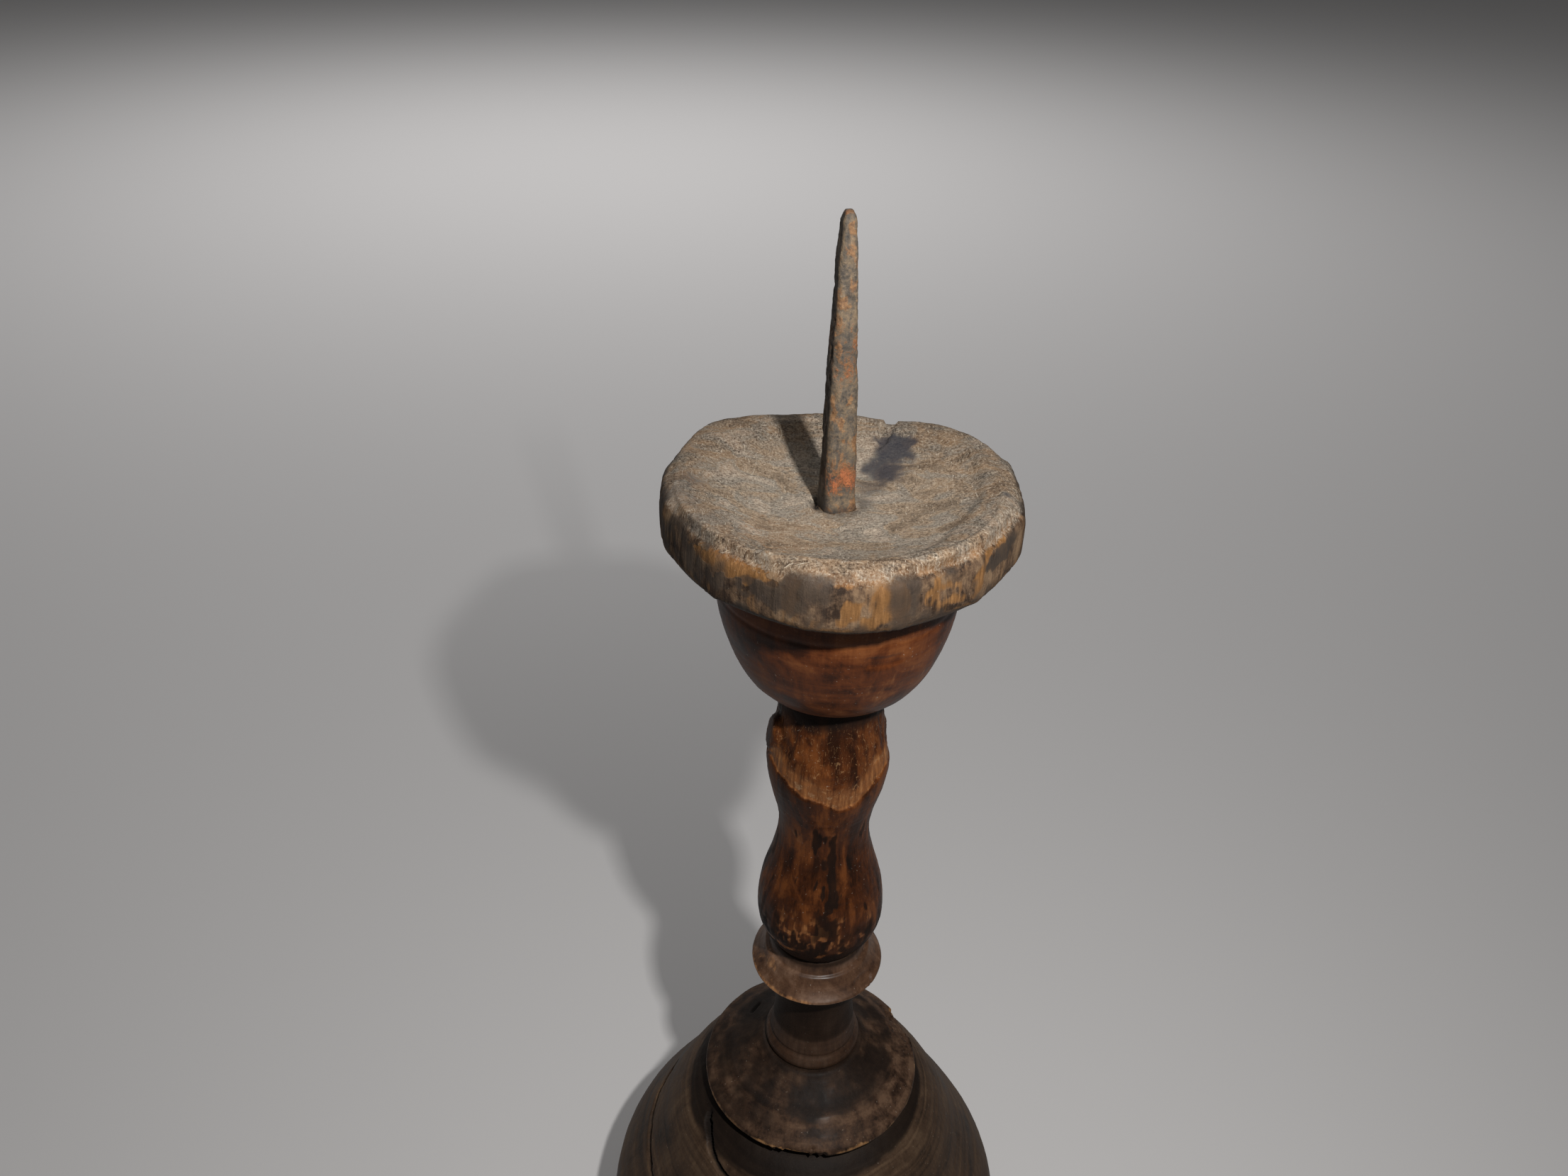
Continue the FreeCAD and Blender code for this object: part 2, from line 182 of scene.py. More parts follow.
class Skin:
    """A turned piece as a grid: axis 0 runs round the axis, axis 1 along the profile.

    step is the row spacing in mm where fine(radius, height) holds, extra lists (height, reach, share)
    zones with closer rows, and soften and round_out ease the corners, the latter only near the rim.
    """

    def __init__(self, node, columns, step, azimuth=25.0, solid=False, fine=None, extra=(),
                 soften=0.22, round_out=0.0):
        self.node = node
        loop = half_section(node, azimuth)
        if solid:
            loop = self.without_core(loop)
        self.closed = not solid
        dense = self.resampled(loop, np.full(len(loop), SECTION_STEP))
        dense = self.softened(dense, soften / SECTION_STEP)
        if round_out:
            rounder = self.softened(dense, round_out / SECTION_STEP)
            share = smooth(14, 18, dense[:, :1])
            dense = dense + (rounder - dense) * share
        a = math.radians(azimuth)
        where = [Vector((r * math.cos(a), r * math.sin(a), z)) / MM for r, z in dense]
        gap = clearance(node, where)
        spacing = np.where(gap > HIDDEN_GAP, step, HIDDEN_ROWS * step)
        if fine is not None:
            spacing = np.where(fine(dense[:, 0], dense[:, 1]), spacing, PLAIN_ROWS * step)
        for height, reach, share in extra:
            near = abs(dense[:, 1] - height) < reach
            spacing = np.where(near & (spacing <= step), step * share, spacing)
        rows = self.resampled(dense, spacing)
        order = self.lengths(dense)
        place = self.lengths(rows)
        self.gap = np.interp(place * order[-1] / place[-1], order, gap)
        r, z = rows.T
        ahead, behind = np.roll(rows, -1, 0), np.roll(rows, 1, 0)
        if not self.closed:
            ahead[-1], behind[0] = rows[-1], rows[0]
        run = ahead - behind
        run /= np.maximum(np.linalg.norm(run, axis=1), 1e-9)[:, None]
        area = np.sum(rows[:, 0] * np.roll(rows[:, 1], -1) - np.roll(rows[:, 0], -1) * rows[:, 1])
        sign = 1 if area > 0 else -1
        self.theta = np.linspace(-180, 180, columns, endpoint=False)[:, None]
        shape = np.ones((columns, 1))
        self.r, self.z = r[None] * shape, z[None] * shape
        self.s = place[None] * shape
        self.nr, self.nz = (sign * run[:, 1])[None] * shape, (-sign * run[:, 0])[None] * shape
        self.open_air = smooth(0.1, 0.9, self.gap)[None] * shape
        self.gap = self.gap[None] * shape
        self.theta = self.theta * np.ones_like(self.r)
        self.push = np.zeros_like(self.r)
        self.masks = {}

    @staticmethod
    def lengths(line):
        """Distance along the line at each of its points."""
        return np.concatenate([[0], np.cumsum(np.linalg.norm(np.diff(line, axis=0), axis=1))])

    @staticmethod
    def without_core(loop):
        """The part of a section outside the hidden tang and wedge, run in to the axis at both ends."""
        inside = loop[:, 0] < CORE_RADIUS
        if inside.any() and not inside.all():
            start = np.flatnonzero(inside & ~np.roll(inside, -1))
            ring = np.roll(loop, -int(start[0]) - 1, 0)
            keep = ring[ring[:, 0] >= CORE_RADIUS]
        else:
            keep = loop
        first, last = keep[0], keep[-1]
        ends = [np.linspace(0, 1, 20)[:, None] * [p[0], 0] + [0, p[1]] for p in (first, last)]
        return np.vstack([ends[0][:-1], keep, ends[1][::-1][1:]])

    def resampled(self, line, spacing):
        """The line with points about spacing apart."""
        if self.closed:
            line = np.vstack([line, line[:1]])
            spacing = np.append(spacing, spacing[0])
        along = self.lengths(line)
        pace = np.concatenate([[0], np.cumsum(np.diff(along) * 2 / (spacing[1:] + spacing[:-1]))])
        count = max(int(round(pace[-1])), 8)
        marks = np.linspace(0, pace[-1], count + 1)
        if self.closed:
            marks = marks[:-1]
        at = np.interp(marks, pace, along)
        return np.column_stack([np.interp(at, along, line[:, 0]), np.interp(at, along, line[:, 1])])

    def softened(self, line, sigma):
        """The line with its sharp corners eased, ends on the axis kept."""
        reach = int(4 * sigma) + 1
        offsets = np.arange(-reach, reach + 1)
        weight = np.exp(-0.5 * (offsets / sigma) ** 2)
        weight /= weight.sum()
        index = np.arange(len(line))[:, None] + offsets[None]
        index = index % len(line) if self.closed else np.clip(index, 0, len(line) - 1)
        eased = (line[index] * weight[None, :, None]).sum(1)
        if not self.closed:
            eased[0], eased[-1] = line[0], line[-1]
        return eased

    def places(self):
        """Points of the skin before relief, in millimetres."""
        a = np.radians(self.theta)
        return np.stack([self.r * np.cos(a), self.r * np.sin(a), self.z], -1)

    def fuzz(self, across, along, seed):
        """Noise with features across mm wide and along mm tall."""
        return fbm(self.places() / np.array([across, across, along]), seed, 3)

    def rings(self, size, seed):
        """Noise that changes quickly along the profile and slowly round the axis."""
        a = np.radians(self.theta)
        return fbm(np.stack([np.cos(a) * 2, np.sin(a) * 2, self.s / size], -1), seed, 3)

    def staves(self, size, seed):
        """Noise that changes quickly round the axis and slowly up it."""
        return self.fuzz(size, size * 14, seed)

    def from_angle(self, degrees):
        """Signed degrees from an angle."""
        return (self.theta - degrees + 180) % 360 - 180

    def towards(self, degrees, none, full):
        """1 within full degrees of an angle, 0 more than none degrees away from it."""
        return smooth(none, full, abs(self.from_angle(degrees)))

    def band(self, height, reach):
        """1 at a height, fading within about reach millimetres above and below."""
        return hill(self.z, height, reach)

    def spot(self, degrees, height, across, tall, seed=0, ragged=0.3):
        """1 inside a soft ragged ellipse on the surface, sized in millimetres, 0 outside."""
        u = np.radians(self.from_angle(degrees)) * self.r / across
        v = (self.z - height) / tall
        d = np.hypot(u, v)
        near = d < 2.2
        if ragged and near.any():
            wobble = fbm(self.places()[near] / (0.35 * min(across, tall) + 0.4), 900 + seed, 3)
            d[near] += ragged * wobble
        return 1 - smooth(0.7, 1.05, d)

    def line_distance(self, marks, seed):
        """Distance in mm to a wandering line through (degrees, height) marks, and share of its way."""
        outside = self.nr[0] > 0.05
        rising = np.argsort(self.z[0][outside])
        heights, lengths = self.z[0][outside][rising], self.s[0][outside][rising]
        s = [float(np.interp(height, heights, lengths)) for _, height in marks]
        best, share = np.full(self.r.shape, 1e9), np.zeros(self.r.shape)
        sway = 0.25 * fbm(self.places() / 2.5, 700 + seed, 3)
        total = len(marks) - 1
        for i in range(total):
            u = np.radians(self.from_angle(marks[i][0])) * self.r
            end = np.radians((marks[i + 1][0] - marks[i][0] + 180) % 360 - 180) * self.r
            v = self.s + sway - s[i]
            rise = s[i + 1] - s[i]
            t = np.clip((u * end + v * rise) / (end**2 + rise**2), 0, 1)
            d = np.hypot(u - t * end, v - t * rise)
            closer = d < best
            best = np.where(closer, d, best)
            share = np.where(closer, (i + t) / total, share)
        return best, share

    def crack(self, width, depth, seed, *marks):
        """Cuts a crack through (degrees, height) marks that closes towards both ends, and darkens it."""
        d, share = self.line_distance(marks, seed)
        mouth = width * np.clip(np.sin(np.pi * np.clip(share, 0.03, 0.97)) ** 0.5, 0.15, 1)
        mouth = mouth * (1 + 0.35 * fbm(self.places() / 1.6, 800 + seed, 2))
        cut = 1 - smooth(0.15, 1.0, d / np.maximum(mouth, 0.05))
        self.push -= depth * cut * np.minimum(mouth / width, 1)
        self.paint("crack", cut)

    def paint(self, mask, value):
        """Adds to a mask that the material reads, keeping the stronger value."""
        value = np.clip(value, 0, 1)
        self.masks[mask] = np.maximum(self.masks.get(mask, 0), value)

    def carve(self, amount):
        """Moves the surface along its normal, in millimetres, only where it is in the open."""
        self.push += amount * self.open_air

    def finished(self):
        """Final points in metres; nothing goes below the table."""
        r = self.r + self.push * self.nr
        z = np.maximum(self.z + self.push * self.nz, 0)
        a = np.radians(self.theta)
        return np.stack([r * np.cos(a), r * np.sin(a), z], -1) / MM


def grid_object(name, points, closed, masks):
    """A mesh from a grid of points; axis 0 wraps, axis 1 wraps too or ends in two poles."""
    columns, rows = points.shape[:2]
    if closed:
        flat = points.reshape(-1, 3)
        index = np.arange(columns * rows).reshape(columns, rows)
        across = np.roll(index, -1, 1)
        quads = np.stack([index, np.roll(index, -1, 0), np.roll(across, -1, 0), across], -1).reshape(-1, 4)
        triangles = np.zeros((0, 3), int)
        spread = {key: value.reshape(-1) for key, value in masks.items()}
    else:
        inner = points[:, 1:-1]
        count = columns * (rows - 2)
        flat = np.vstack([inner.reshape(-1, 3), points[:, 0].mean(0), points[:, -1].mean(0)])
        index = np.arange(count).reshape(columns, rows - 2)
        a, b = index[:, :-1], index[:, 1:]
        quads = np.stack([a, np.roll(a, -1, 0), np.roll(b, -1, 0), b], -1).reshape(-1, 4)
        low, high = index[:, 0], index[:, -1]
        triangles = np.vstack([
            np.stack([np.full(columns, count), np.roll(low, -1), low], -1),
            np.stack([np.full(columns, count + 1), high, np.roll(high, -1)], -1),
        ])
        spread = {
            key: np.concatenate([value[:, 1:-1].reshape(-1), [value[:, 0].mean(), value[:, -1].mean()]])
            for key, value in masks.items()
        }
    a, b, c, d = (flat[quads[:, i]] for i in range(4))
    volume = np.einsum("ij,ij->i", a, np.cross(b, c)).sum() + np.einsum("ij,ij->i", a, np.cross(c, d)).sum()
    if volume < 0:
        quads, triangles = quads[:, ::-1], triangles[:, ::-1]
    mesh = bpy.data.meshes.new(name)
    mesh.from_pydata(flat.tolist(), [], quads.tolist() + triangles.tolist())
    mesh.shade_smooth()
    for key, value in spread.items():
        layer = mesh.attributes.new(key, "FLOAT", "POINT")
        layer.data.foreach_set("value", np.ascontiguousarray(value, np.float32))
    piece = bpy.data.objects.new(name, mesh)
    bpy.context.scene.collection.objects.link(piece)
    return piece


def cut_by(piece, *nodes):
    """Cuts the exact shape of CAD nodes out of a piece."""
    for node in nodes:
        cutter = bpy.data.objects.new("cutter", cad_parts[node].data.copy())
        bpy.context.scene.collection.objects.link(cutter)
        modifier = piece.modifiers.new("cut", "BOOLEAN")
        modifier.operation = "DIFFERENCE"
        modifier.solver = "EXACT"
        modifier.object = cutter
        bpy.context.view_layer.objects.active = piece
        bpy.ops.object.modifier_apply(modifier=modifier.name)
        bpy.data.objects.remove(cutter)


def tie(piece, node, material):
    """Gives a piece its material and puts it in the place of a CAD node."""
    piece.data.materials.append(material)
    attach(piece, "root")
    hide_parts(node)


def add_piece(name, skin, material, cuts=()):
    """Makes the object of a skin and ties it to the skin's CAD node."""
    masks = {key: skin.masks.get(key, np.zeros_like(skin.r)) for key in MASKS}
    # The groove mask darkens surfaces close to another part: dirt and painted shade in the joints.
    masks["groove"] = np.exp(-skin.gap / 0.8) * np.ones_like(skin.r)
    piece = grid_object(name, skin.finished(), skin.closed, masks)
    cut_by(piece, *cuts)
    tie(piece, skin.node, material)


# ---------------------------------------------------------------- materials


class Paint:
    """A node material, written as short calls."""

    def __init__(self, name):
        self.material = bpy.data.materials.new(name)
        self.material.use_nodes = True
        self.tree = self.material.node_tree
        self.shader = self.tree.nodes["Principled BSDF"]
        self.place = self.node("ShaderNodeTexCoord").outputs["Object"]

    def node(self, kind, inputs=None, **settings):
        made = self.tree.nodes.new(kind)
        for key, value in settings.items():
            setattr(made, key, value)
        for key, value in (inputs or {}).items():
            self.feed(made.inputs[key], value)
        return made

    def feed(self, socket, value):
        if isinstance(value, bpy.types.NodeSocket):
            self.tree.links.new(value, socket)
        elif isinstance(value, tuple) and len(value) == 3 and socket.type == "RGBA":
            socket.default_value = (*value, 1)
        else:
            socket.default_value = value

    def math(self, operation, a, b=0.0, c=None, clamp=False):
        inputs = {0: a, 1: b} if c is None else {0: a, 1: b, 2: c}
        return self.node("ShaderNodeMath", inputs, operation=operation, use_clamp=clamp).outputs[0]

    def stretch(self, x, y, z):
        """Object coordinates in features: x, y and z are sizes in millimetres."""
        scale = tuple(MM / size for size in (x, y, z))
        return self.node("ShaderNodeMapping", {"Vector": self.place, "Scale": scale}).outputs[0]

    def noise(self, size, detail=4.0, rough=0.55, warp=0.0, offset=0.0):
        """Noise from 0 to 1; size is one number or three, in millimetres."""
        x, y, z = size if isinstance(size, tuple) else (size,) * 3
        vector = self.stretch(x, y, z)
        if offset:
            shifted = self.node("ShaderNodeVectorMath", {0: vector, 1: (offset,) * 3}, operation="ADD")
            vector = shifted.outputs[0]
        inputs = {"Vector": vector, "Scale": 1.0, "Detail": detail, "Roughness": rough, "Distortion": warp}
        return self.node("ShaderNodeTexNoise", inputs).outputs[0]

    def along(self, value, size, detail=3.0, rough=0.6):
        """Noise along one number given in metres."""
        w = self.math("MULTIPLY", value, MM / size)
        inputs = {"W": w, "Scale": 1.0, "Detail": detail, "Roughness": rough}
        return self.node("ShaderNodeTexNoise", inputs, noise_dimensions="1D").outputs[0]

    def step(self, value, low, high):
        """A smooth step of a value between two levels."""
        inputs = {"Value": value, "From Min": low, "From Max": high, "To Min": 0.0, "To Max": 1.0}
        return self.node("ShaderNodeMapRange", inputs, interpolation_type="SMOOTHSTEP").outputs[0]

    def spread(self, value, low, high):
        """A value that runs from 0 to 1, spread between two numbers."""
        inputs = {"Value": value, "To Min": low, "To Max": high}
        return self.node("ShaderNodeMapRange", inputs).outputs[0]

    def mix(self, share, a, b, blend="MIX"):
        made = self.node("ShaderNodeMix", data_type="RGBA", blend_type=blend)
        for index, value in ((0, share), (6, a), (7, b)):
            self.feed(made.inputs[index], value)
        return made.outputs[2]

    def blend(self, share, a, b):
        """A number between a and b."""
        return self.math("MULTIPLY_ADD", share, self.math("SUBTRACT", b, a), a)

    def mask(self, name):
        return self.node("ShaderNodeAttribute", attribute_name=name).outputs["Fac"]

    def cover(self, amount, texture, spread=0.5, edge=0.12):
        """Breaks a soft mask up with a texture, so that its edge is ragged."""
        ragged = self.math("MULTIPLY_ADD", self.math("SUBTRACT", texture, 0.5), spread, amount)
        return self.step(ragged, 0.5 - edge, 0.5 + edge)

    def ramp(self, value, *stops):
        """A colour ramp through (place, colour) stops."""
        made = self.node("ShaderNodeValToRGB", {"Fac": value})
        elements = made.color_ramp.elements
        elements[0].position, elements[0].color = stops[0][0], (*stops[0][1], 1)
        elements[1].position, elements[1].color = stops[-1][0], (*stops[-1][1], 1)
        for position, colour in stops[1:-1]:
            elements.new(position).color = (*colour, 1)
        return made.outputs[0]

    def bump(self, height, distance, below=None):
        """A bump of the given height in millimetres on top of another."""
        inputs = {"Height": height, "Distance": distance / MM, "Strength": 1.0}
        if below is not None:
            inputs["Normal"] = below
        return self.node("ShaderNodeBump", inputs).outputs[0]


DUST_COLOUR = (0.4, 0.34, 0.28)
STAIN_COLOUR = (0.03, 0.03, 0.035)
CRACK_COLOUR = (0.008, 0.006, 0.005)


def wood(name, looks):
    """Old wood: streaks of the grain, fibres, turning lines, varnish, bare patches, dirt with painted
    shade, and dust.

    Sizes in looks are in millimetres. The masks painted on the skin say where each kind of wear and of
    painted shade is.
    """
    p = Paint(name)
    xyz = p.node("ShaderNodeSeparateXYZ", {0: p.place}).outputs
    flat = p.node("ShaderNodeCombineXYZ", {"X": xyz["X"], "Y": xyz["Y"]}).outputs[0]
    warp = p.noise(14.0, 2.0, 0.5)
    distance = p.node("ShaderNodeVectorMath", {0: flat}, operation="LENGTH").outputs["Value"]
    radius = p.math("MULTIPLY_ADD", warp, 0.002, distance)
    fine = looks.get("fibre", 0.5)
    fibre = p.noise((fine, fine, fine * 16), 6.0, 0.62)
    wide = looks["streak"]
    streak = p.noise((wide, wide, wide * looks.get("run", 9.0)), 5.0, 0.6, 0.4)
    rings = p.along(radius, looks.get("ring", 1.1), 4.0, 0.65)
    lathe = p.along(p.math("MULTIPLY_ADD", warp, 0.0006, xyz["Z"]), looks.get("lathe", 0.7), 4.0, 0.7)
    blotch = p.noise(looks["blotch"], 5.0, 0.6, 0.6)
    speck = p.noise(0.32, 3.0, 0.7)
    tone = 0.0
    for source, weight in zip((streak, rings, lathe, blotch, fibre, speck), looks["weights"]):
        tone = p.math("MULTIPLY_ADD", source, weight, tone)
    middle = sum(looks["weights"]) / 2
    tone = p.math("MULTIPLY_ADD", p.math("SUBTRACT", tone, middle), looks["contrast"], 0.5)
    colour = p.ramp(tone, (0.12, looks["deep"]), (0.5, looks["mid"]), (0.88, looks["light"]))
    rough = p.blend(p.step(tone, 0.2, 0.9), looks["rough"] - 0.06, looks["rough"] + 0.1)
    bare_tone = p.math("MULTIPLY_ADD", fibre, 0.6, p.math("MULTIPLY", streak, 0.4))
    bare_stops = (0.3, looks["bare_deep"]), (0.52, looks["bare"]), (0.75, looks["bare_light"])
    bare_colour = p.ramp(bare_tone, *bare_stops)
    ragged = p.math("MULTIPLY_ADD", fibre, 0.4, p.math("MULTIPLY", p.blend(0.5, blotch, streak), 0.6))
    bare = p.cover(p.mask("bare"), ragged, 1.0, looks.get("bare_edge", 0.2))
    colour = p.mix(bare, colour, bare_colour)
    rough = p.blend(bare, rough, 0.62)
    pale = p.cover(p.mask("pale"), p.blend(0.5, speck, fibre), 1.1, 0.22)
    colour = p.mix(pale, colour, p.ramp(speck, (0.25, looks["pale_deep"]), (0.7, looks["pale"])))
    rough = p.blend(pale, rough, 0.85)
    if "mottle" in looks:
        patches = p.noise((6.5, 5.0, 9.0), 3.0, 0.55, 0.8, 11.0)
        tinted = p.mix(1.0, colour, p.ramp(patches, *looks["mottle"]), "MULTIPLY")
        colour = p.mix(p.math("MULTIPLY", p.mask("top"), 0.9), colour, tinted)
    if "hair" in looks:
        across, along = (p.noise(size, 2.0, 0.5, 1.2) for size in ((1.5, 0.16, 1.0), (0.16, 1.3, 1.0)))
        hairs = p.step(p.math("MAXIMUM", across, along), 0.63, 0.71)
        hairs = p.math("MULTIPLY", hairs, p.math("MULTIPLY", p.mask("top"), looks["fuzz"]))
        colour = p.mix(hairs, colour, looks["hair"])
    dust = p.math("MULTIPLY", p.step(p.noise(0.42, 2.0, 0.5, 0.0, 31.0), 0.7, 0.76), 0.3)
    colour = p.mix(dust, colour, DUST_COLOUR)
    stain = p.cover(p.mask("stain"), p.blend(0.6, blotch, speck), 1.1, 0.34)
    colour = p.mix(p.math("MULTIPLY", stain, 0.86), colour, looks.get("stain", STAIN_COLOUR))
    # Dirt and painted shade: the grime mask holds real dirt and painted shade, and the groove mask darkens
    # every joint as painted shade.
    dirt_and_shade = p.cover(p.mask("grime_and_shade"), p.blend(0.5, blotch, fibre), 0.8, 0.32)
    joint_shade = p.math("POWER", p.mask("groove"), 1.6)
    dirt_and_shade = p.math("MAXIMUM", dirt_and_shade, p.math("MULTIPLY", joint_shade, 0.85), clamp=True)
    colour = p.mix(p.math("MULTIPLY", dirt_and_shade, 0.88), colour, looks["grime_and_shade"])
    rough = p.blend(dirt_and_shade, rough, 0.6)
    crack = p.mask("crack")
    colour = p.mix(p.step(crack, 0.1, 0.6), colour, CRACK_COLOUR)
    rough = p.blend(crack, rough, 0.9)
    p.feed(p.shader.inputs["Base Color"], colour)
    p.feed(p.shader.inputs["Roughness"], rough)
    p.feed(p.shader.inputs["Specular IOR Level"], looks["specular"])
    if "coat" in looks:
        polish = p.math("SUBTRACT", 1.0, p.math("MAXIMUM", dirt_and_shade, crack))
        p.feed(p.shader.inputs["Coat Weight"], p.math("MULTIPLY", polish, looks["coat"]))
        p.feed(p.shader.inputs["Coat Roughness"], looks["coat_rough"])
    relief = p.bump(fibre, looks["fibre_depth"])
    relief = p.bump(lathe, looks["lathe_depth"], relief)
    relief = p.bump(speck, looks.get("speck_depth", 0.02), relief)
    relief = p.bump(p.math("SUBTRACT", 1.0, bare), 0.05, relief)
    p.feed(p.shader.inputs["Normal"], relief)
    return p.material


def rust(name):
    """Forged iron: grey-brown scale with orange and red-brown rust."""
    p = Paint(name)
    big = p.noise((1.6, 1.6, 3.2), 6.0, 0.62, 0.8)
    small = p.noise(0.45, 5.0, 0.7)
    grit = p.noise(0.16, 3.0, 0.7)
    tone = p.blend(0.4, big, small)
    skin = p.ramp(tone, (0.36, (0.03, 0.027, 0.024)), (0.47, (0.09, 0.071, 0.053)),
                  (0.56, (0.17, 0.12, 0.073)), (0.66, (0.27, 0.2, 0.135)))
    ochre = p.ramp(small, (0.35, (0.12, 0.05, 0.018)), (0.62, (0.31, 0.155, 0.06)))
    where = p.step(p.noise((2.2, 2.2, 3.2), 5.0, 0.6, 0.7, 5.0), 0.51, 0.6)
    skin = p.mix(p.math("MULTIPLY", where, 0.7), skin, ochre)
    orange = p.cover(p.mask("bare"), p.blend(0.55, small, big), 1.3, 0.1)
    red = p.ramp(grit, (0.3, (0.22, 0.06, 0.022)), (0.7, (0.42, 0.15, 0.055)))
    colour = p.mix(orange, skin, red)
    dust = p.cover(p.mask("pale"), small, 1.0, 0.2)
    colour = p.mix(dust, colour, (0.34, 0.29, 0.23))
    # Darker where the grime mask is: dirt and painted shade.
    dark = p.cover(p.mask("grime_and_shade"), big, 0.8, 0.2)
    colour = p.mix(p.math("MULTIPLY", dark, 0.8), colour, (0.02, 0.017, 0.016))
    p.feed(p.shader.inputs["Base Color"], colour)
    p.feed(p.shader.inputs["Roughness"], p.blend(small, 0.55, 0.85))
    p.feed(p.shader.inputs["Metallic"], 0.15)
    relief = p.bump(small, 0.12)
    relief = p.bump(grit, 0.05, relief)
    relief = p.bump(orange, 0.06, relief)
    p.feed(p.shader.inputs["Normal"], relief)
    return p.material


BASE_LOOKS = {
    "deep": (0.0187, 0.0109, 0.00616), "mid": (0.0533, 0.0307, 0.0179), "light": (0.0972, 0.0608, 0.0358),
    "bare_deep": (0.13, 0.065, 0.03), "bare": (0.22, 0.12, 0.055), "bare_light": (0.32, 0.19, 0.1),
    "pale_deep": (0.09, 0.066, 0.048), "pale": (0.17, 0.13, 0.1), "grime_and_shade": (0.007, 0.0042, 0.003),
    "rough": 0.68, "specular": 0.12, "streak": 1.2, "blotch": 9.0, "ring": 1.3, "lathe": 1.4,
    "weights": (0.25, 0.6, 0.2, 0.9, 0.3, 0.15), "contrast": 1.7,
    "coat": 0.06, "coat_rough": 0.35, "fibre_depth": 0.04, "lathe_depth": 0.02,
}
DRUM_LOOKS = {
    **BASE_LOOKS,
    "deep": (0.016, 0.0078, 0.0042), "mid": (0.052, 0.0275, 0.0158), "light": (0.1, 0.057, 0.034),
    "bare": (0.27, 0.14, 0.055), "blotch": 4.0, "weights": (0.35, 0.25, 0.1, 1.0, 0.35, 0.15),
    "contrast": 2.2, "coat": 0.05, "coat_rough": 0.28,
}
KNOP_LOOKS = {
    "deep": (0.0266, 0.0112, 0.0055), "mid": (0.08, 0.039, 0.0205), "light": (0.15, 0.086, 0.054),
    "bare_deep": (0.16, 0.07, 0.03), "bare": (0.3, 0.14, 0.055), "bare_light": (0.4, 0.22, 0.1),
    "pale_deep": (0.13, 0.085, 0.065), "pale": (0.21, 0.155, 0.13), "grime_and_shade": (0.01, 0.006, 0.004),
    "rough": 0.6, "specular": 0.1, "streak": 1.0, "blotch": 7.0,
    "weights": (0.35, 0.05, 0.2, 1.0, 0.25, 0.1), "contrast": 1.8,
    "coat": 0.4, "coat_rough": 0.34, "fibre_depth": 0.02, "lathe_depth": 0.015,
}
STEM_LOOKS = {
    "deep": (0.0165, 0.0052, 0.0019), "mid": (0.047, 0.0135, 0.0038), "light": (0.11, 0.034, 0.0085),
    "bare_deep": (0.07, 0.025, 0.009), "bare": (0.17, 0.064, 0.021), "bare_light": (0.37, 0.175, 0.062),
    "pale_deep": (0.2, 0.12, 0.06), "pale": (0.38, 0.25, 0.14), "grime_and_shade": (0.008, 0.0055, 0.0045),
    "rough": 0.62, "specular": 0.05, "streak": 1.5, "run": 9.0, "blotch": (3.6, 3.6, 9.0),
    "weights": (0.7, 0.05, 0.05, 1.2, 0.3, 0.15), "contrast": 2.0, "coat": 0.16, "coat_rough": 0.2,
    "fuzz": 0.35, "hair": (0.36, 0.2, 0.09), "bare_edge": 0.3,
    "fibre_depth": 0.04, "lathe_depth": 0.01,
}
BELL_LOOKS = {
    "deep": (0.0265, 0.0068, 0.0019), "mid": (0.08, 0.0212, 0.0052), "light": (0.138, 0.0445, 0.0125),
    "bare_deep": (0.12, 0.05, 0.02), "bare": (0.2, 0.088, 0.034), "bare_light": (0.28, 0.14, 0.06),
    "pale_deep": (0.14, 0.075, 0.045), "pale": (0.23, 0.145, 0.1), "grime_and_shade": (0.012, 0.007, 0.005),
    "rough": 0.6, "specular": 0.09, "streak": 1.4, "blotch": 6.0, "lathe": 2.2,
    "weights": (0.2, 0.05, 0.35, 1.2, 0.2, 0.1), "contrast": 2.0,
    "coat": 0.2, "coat_rough": 0.27, "fibre_depth": 0.02, "lathe_depth": 0.02,
}
PAN_LOOKS = {
    "deep": (0.028, 0.0175, 0.012), "mid": (0.095, 0.059, 0.036), "light": (0.175, 0.114, 0.068),
    "bare_deep": (0.07, 0.035, 0.014), "bare": (0.168, 0.083, 0.031), "bare_light": (0.33, 0.178, 0.074),
    "pale_deep": (0.135, 0.108, 0.086), "pale": (0.34, 0.29, 0.235), "grime_and_shade": (0.04, 0.031, 0.025),
    "stain": (0.026, 0.028, 0.038),
    "rough": 0.8, "specular": 0.12, "streak": 0.9, "run": 3.0, "blotch": 4.5,
    "weights": (0.35, 0.05, 0.05, 1.2, 0.35, 0.3), "contrast": 2.6, "fibre_depth": 0.12,
    "lathe_depth": 0.01, "speck_depth": 0.07, "fibre": 0.4, "fuzz": 0.7, "hair": (0.5, 0.43, 0.34),
    "mottle": (
        (0.34, (0.58, 0.5, 0.42)), (0.45, (1.06, 0.93, 0.78)),
        (0.55, (0.84, 0.87, 0.88)), (0.66, (1.26, 1.22, 1.17)),
    ),
}
WEDGE_LOOKS = {
    **PAN_LOOKS, "deep": (0.15, 0.09, 0.05), "mid": (0.3, 0.2, 0.11), "light": (0.45, 0.32, 0.19),
}

# ---------------------------------------------------------------- base


